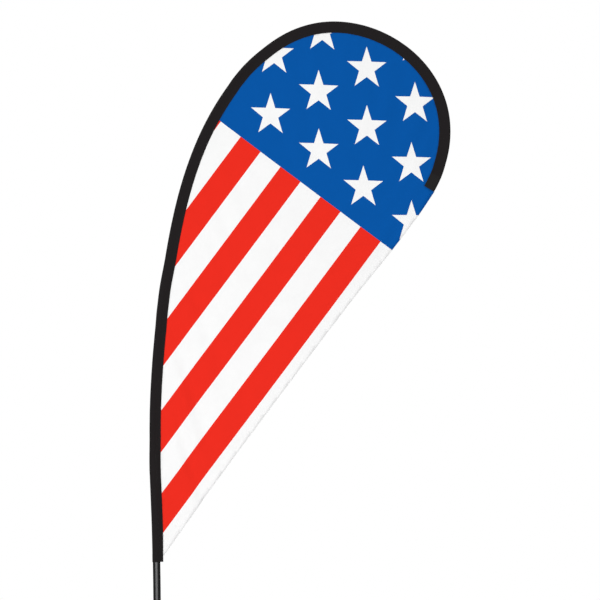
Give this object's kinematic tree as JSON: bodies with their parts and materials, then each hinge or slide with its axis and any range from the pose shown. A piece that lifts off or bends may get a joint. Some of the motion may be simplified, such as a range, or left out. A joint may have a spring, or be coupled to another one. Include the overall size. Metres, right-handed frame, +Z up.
{
  "type": "teardrop flag",
  "caption": "Teardrop banner flag: a bent sectional pole in a black sleeve holds a stars-and-stripes cloth and turns on a ball-bearing spindle in a folding cross base.",
  "frame": {"origin": "on the floor at the middle of the hub's rubber foot, under the pole's axis", "axes": "+Z up along the straight foot of the pole; +X the way the flag and the bent pole lean out; the flag lies in the XZ plane and +Y is square to it"},
  "size_m": [1.2742, 0.594, 2.4017],
  "materials": {
    "base_steel": "black powder coat, fine texture",
    "zinc_steel": "bright zinc plate",
    "bearing_steel": "ground bearing steel",
    "plastic": "moulded black",
    "rubber": "matt black",
    "anodised": "black anodised, satin",
    "fibreglass": "pultruded black, semi-gloss",
    "sleeve_cloth": "woven black polyester",
    "flag_cloth": "printed knitted polyester, blue, red and white",
    "hem_cloth": "folded and stitched hem of the printed cloth",
    "webbing": "black webbing",
    "brass": "polished"
  },
  "bodies": {
    "base": {"lower_arm": "base_steel", "lower_arm_bush": "base_steel", "lower_end_cap_a": "plastic", "lower_end_cap_b": "plastic", "lower_foot_a": "rubber", "lower_foot_b": "rubber", "hub_foot": "rubber", "hub_lock_nut": "zinc_steel", "nut_washer": "zinc_steel", "friction_washer": "plastic", "bearing_housing": "base_steel", "lower_outer_ring": "bearing_steel", "upper_outer_ring": "bearing_steel", "outer_spacer": "zinc_steel", "housing_circlip": "zinc_steel", "dust_seal": "rubber"},
    "cross_arm": {"upper_arm": "base_steel", "upper_arm_bush": "base_steel", "upper_end_cap_a": "plastic", "upper_end_cap_b": "plastic", "upper_foot_a": "rubber", "upper_foot_b": "rubber"},
    "rotor": {"spindle": "zinc_steel", "lower_inner_ring": "bearing_steel", "upper_inner_ring": "bearing_steel", "inner_spacer": "zinc_steel", "spindle_circlip": "zinc_steel", "o_ring_lower": "rubber", "o_ring_upper": "rubber"},
    "lower_cage": {"lower_ball_cage": "bearing_steel"},
    "upper_cage": {"upper_ball_cage": "bearing_steel"},
    "pole": {"pole_base_tube": "anodised", "base_tube_bush": "plastic", "base_tube_lip": "plastic", "pole_second_tube": "fibreglass", "second_ferrule": "anodised", "pole_third_tube": "fibreglass", "third_ferrule": "anodised", "pole_tip_rod": "fibreglass", "tip_cap": "rubber", "sleeve_hem": "sleeve_cloth", "pole_sleeve": "sleeve_cloth", "tip_pocket": "sleeve_cloth", "flag_panel": "flag_cloth", "trailing_hem": "hem_cloth", "tension_tab": "webbing", "tab_eyelet": "brass", "tab_hook": "zinc_steel"}
  },
  "joints": [
    {"name": "base_fold", "type": "hinge", "parent": "base", "child": "cross_arm", "pos_m": [0, 0, 0.0456], "axis": [0, 0, 1], "range_deg": [-80, 80]},
    {"name": "pole_spin", "type": "hinge", "parent": "base", "child": "rotor", "pos_m": [0, 0, 0.0771], "axis": [0, 0, 1], "continuous": true},
    {"name": "lower_cage_spin", "type": "hinge", "parent": "base", "child": "lower_cage", "pos_m": [0, 0, 0.0693], "axis": [0, 0, 1], "continuous": true},
    {"name": "upper_cage_spin", "type": "hinge", "parent": "base", "child": "upper_cage", "pos_m": [0, 0, 0.085], "axis": [0, 0, 1], "continuous": true},
    {"name": "pole_lift", "type": "slide", "parent": "rotor", "child": "pole", "axis": [0, 0, 1], "range_m": [0, 0.205]}
  ],
  "couplings": [
    {"joint": "lower_cage_spin", "follows": "pole_spin", "ratio": 0.4038},
    {"joint": "upper_cage_spin", "follows": "pole_spin", "ratio": 0.4038}
  ]
}
